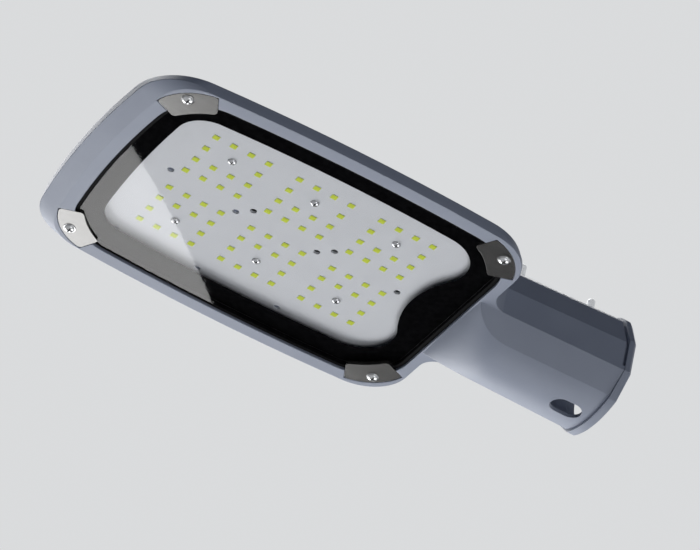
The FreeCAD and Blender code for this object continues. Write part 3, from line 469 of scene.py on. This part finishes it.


# black silicone in the gap between the glass and the wall of its recess, laid up that wall: partly a real seal,
# partly painted shade that keeps the narrow gap black
# its profile in millimetres: way out from the glass's edge, and height above its front face
sealAndShadeSet = dict(profile=((0.02, 0.40), (0.30, 0.22), (1.00, 0.12), (1.80, 0.14), (2.40, 0.30), (2.68, 0.60),
                        (2.68, 3.10), (0.02, 3.10)), levelGap=0.00001)


def frontLoop(nodeName, levelGap):
    # outline of a plate's front face, in order, with the way out at each point
    bm = weldedNode(nodeName)
    bm.normal_update()
    level = min(vert.co.z for vert in bm.verts)
    front = {face for face in bm.faces if max(abs(vert.co.z - level) for vert in face.verts) < levelGap}
    rim = [edge for edge in bm.edges if sum(face in front for face in edge.link_faces) == 1]
    follow = {}
    for edge in rim:
        for vert in edge.verts:
            follow.setdefault(vert, []).append(edge.other_vert(vert))
    start = last = rim[0].verts[0]
    now, loop = follow[start][0], [start.co.copy()]
    while now is not start:
        loop.append(now.co.copy())
        ahead = [vert for vert in follow[now] if vert is not last][0]
        last, now = now, ahead
    bm.free()
    middle = sum(loop, Vector()) / len(loop)
    points = []
    for index, co in enumerate(loop):
        along = loop[(index + 1) % len(loop)] - loop[index - 1]
        out = Vector((along.y, -along.x, 0)).normalized()
        points.append((co, out if out.dot(co - middle) > 0 else -out))
    return points


def makeSealAndShade(values):
    bm = bmesh.new()
    points = frontLoop("lens_glass", values["levelGap"])
    rows = [[bm.verts.new(co + out * (reach / 1000) + Vector((0, 0, deep / 1000))) for co, out in points]
            for reach, deep in values["profile"]]
    for row, after in zip(rows, rows[1:] + rows[:1]):
        joinRows(bm, row, after)
    addPiece("glassSealGapShade", bm, "sealBlackGapShade")


# light sources: a thin walled case with a shallow cup, and the yellow phosphor crowned over it
ledSet = dict(half=0.00195, wall=0.00018, tall=0.00024, cup=0.00005, corner=0.0003, crown=0.00005, cornerSteps=4,
              innerCorner=0.8, cupTaper=0.98, domeFit=0.985,
              caseRows=((1, 0), (1, 0.8), (0.97, 1)),  # share of the half width, and of the height
              domeRows=((0.97, 0.8, 0.3), (0.75, 0.8, 0.8), (0.35, 0.6, 1)))  # of the cup, its corner and the crown


def softSquare(centre, half, corner, level, steps):
    # outline of a rounded square at one height
    ring = []
    for quarter in range(4):
        for step in range(steps + 1):
            angle = radians(90 * quarter + 90 * step / steps)
            along = (1, -1, -1, 1)[quarter] * (half - corner) + corner * cos(angle)
            across = (1, 1, -1, -1)[quarter] * (half - corner) + corner * sin(angle)
            ring.append(centre + Vector((along, across, level)))
    return ring


def makeLeds(values):
    half, tall, corner, crown = (values[key] for key in ("half", "tall", "corner", "crown"))
    inner, innerCorner, cupLevel = half - values["wall"], corner * values["innerCorner"], values["cup"] - tall
    caseRings = [(half * wide, corner, -tall * high) for wide, high in values["caseRows"]]
    caseRings += [(inner, innerCorner, -tall), (inner * values["cupTaper"], innerCorner, cupLevel)]
    domeRings = [(inner * values["domeFit"], innerCorner, cupLevel)]
    domeRings += [(inner * wide, corner * soft, -tall - crown * high) for wide, soft, high in values["domeRows"]]
    cases, domes = bmesh.new(), bmesh.new()
    for low, high in placesOf("led_packages"):
        seat = seatAt(low, high, high.z)
        joinRings(cases, [softSquare(seat, *ring, values["cornerSteps"]) for ring in caseRings])
        joinRings(domes, [softSquare(seat, *ring, values["cornerSteps"]) for ring in domeRings])
    addPiece("ledCases", cases, "packageWhite", "led_packages")
    addPiece("ledDomes", domes, "phosphorYellow", "led_phosphors")


# pan head screws with a cross recess: the glass clamps' and the board's
# cadRise is how far the seat lies above the CAD head's lowest point
clampScrewSet = dict(cadRise=0.0023, head=0.0037, rise=0.0019, flange=0.00045, dome=0.0031, shank=0.002,
                     arm=0.0020, armHalf=0.00052, deep=0.0012)
boardScrewSet = dict(cadRise=0.0016, head=0.0026, rise=0.0015, flange=0.0002, dome=0.0025, shank=0.0015,
                     arm=0.00143, armHalf=0.00037, deep=0.0009)
headShape = dict(steps=36, domeSteps=10, flangeSide=0.6, flangeTop=0.96, crossRoom=1.15, lobes=(0.35, 0.7, 1),
                 floorTaper=0.85, pitWide=0.5, pitDeep=1.1)


def ringAt(centre, steps, reachOf, levelOf):
    # ring of points whose reach depends on the angle, and whose level depends on the reach
    ring = []
    for step in range(steps):
        angle = radians(360 * step / steps)
        reach = reachOf(angle)
        ring.append(centre + Vector((reach * cos(angle), reach * sin(angle), levelOf(reach))))
    return ring


def roundRing(centre, radius, level, steps):
    return ringAt(centre, steps, lambda angle: radius, lambda reach: level)


def socketRing(centre, radius, level, steps, flats=6):
    # outline of a socket with that many flats
    turn = radians(360 / flats)
    return ringAt(centre, steps, lambda angle: radius / cos((angle % turn) - turn / 2), lambda reach: level)


def crossReach(angle, values):
    # how far the cross recess goes in that direction
    lean = (angle + pi / 4) % (pi / 2) - pi / 4  # from the middle of the nearest arm
    end, side = values["arm"] / cos(lean), abs(sin(lean))
    return min(end, values["armHalf"] / side) if side else end


def domeLevel(reach, values):
    # height of the head's crown at that distance from its middle
    share = min(1, reach / values["dome"])
    return -values["flange"] - (values["rise"] - values["flange"]) * (1 - share * share) ** 0.5


def crownRings(seat, values, rim):
    # from the last round ring in to the edge of the cross recess, then its walls, floor and pit
    steps, rise, deep = headShape["steps"], values["rise"], values["deep"]
    rings = [ringAt(seat, steps, lambda angle: rim + (crossReach(angle, values) - rim) * share,
                    lambda reach: domeLevel(reach, values)) for share in headShape["lobes"]]
    rings.append(ringAt(seat, steps, lambda angle: crossReach(angle, values) * headShape["floorTaper"],
                        lambda reach: deep - rise))
    rings.append(roundRing(seat, values["armHalf"] * headShape["pitWide"], deep * headShape["pitDeep"] - rise, steps))
    return rings


def makeScrews(name, nodeName, values):
    bm = bmesh.new()
    steps, head, flange = headShape["steps"], values["head"], values["flange"]
    for low, high in placesOf(nodeName):
        seat = seatAt(low, high, low.z + values["cadRise"])
        rings = [roundRing(seat, radius, level, steps) for radius, level in (
            (values["shank"], high.z - seat.z), (values["shank"], 0), (head, 0),
            (head, -flange * headShape["flangeSide"]), (head * headShape["flangeTop"], -flange))]
        for step in range(headShape["domeSteps"]):  # down the dome as far as the recess leaves room
            reach = values["dome"] * cos(radians(90) * step / headShape["domeSteps"])
            if reach < values["arm"] * headShape["crossRoom"]:
                break
            rim = reach
            rings.append(roundRing(seat, rim, domeLevel(rim, values), steps))
        rings += crownRings(seat, values, rim)
        # the walls, floor and pit of the recess take the near-black steel, painted shade of the recess
        for face in joinRings(bm, rings)[-2 * steps - 1:]:  # the walls, floor and pit of the recess
            face.material_index = 1
    piece = addPiece(name, bm, "brightSteel", nodeName)
    piece.data.materials.append(finishes["recessShadeSteel"])


# threaded set screws that lock the arm
pinSet = dict(pitch=0.0008, depth=0.00022, rows=8, steps=28, socket=0.00125, socketDeep=0.0035, chamfer=0.0006)


def makePin(name, nodeName, values):
    bm = bmesh.new()
    pitch, steps = values["pitch"], values["steps"]
    for low, high in placesOf(nodeName):
        centre = seatAt(low, high, low.z)
        radius, long = (high.x - low.x) / 2, high.z - low.z
        count = int(long / pitch * values["rows"])
        rings = []
        for row in range(count + 1):
            level = long * row / count
            trim = max(0, values["chamfer"] - min(level, long - level))
            ring = []
            for step in range(steps):
                phase = (level / pitch - step / steps) % 1
                cut = values["depth"] * abs(2 * phase - 1)
                reach = min(radius - cut, radius - trim)
                angle = radians(360 * step / steps)
                ring.append(centre + Vector((reach * cos(angle), reach * sin(angle), level)))
            rings.append(ring)
        rings.append(socketRing(centre, values["socket"], long, steps))
        rings.append(socketRing(centre, values["socket"], long - values["socketDeep"], steps))
        joinRings(bm, rings)
    addPiece(name, bm, "pinSteel", nodeName)


makePrint(printSet)
makeSealAndShade(sealAndShadeSet)
makeLeds(ledSet)
makeScrews("clampScrewHeads", "clamp_screws", clampScrewSet)
makeScrews("boardScrewHeads", "board_screws", boardScrewSet)
makePin("setScrewFront", "set_screw_front", pinSet)
makePin("setScrewRear", "set_screw_rear", pinSet)
print("finer pieces made")

# finish
print("scene done")
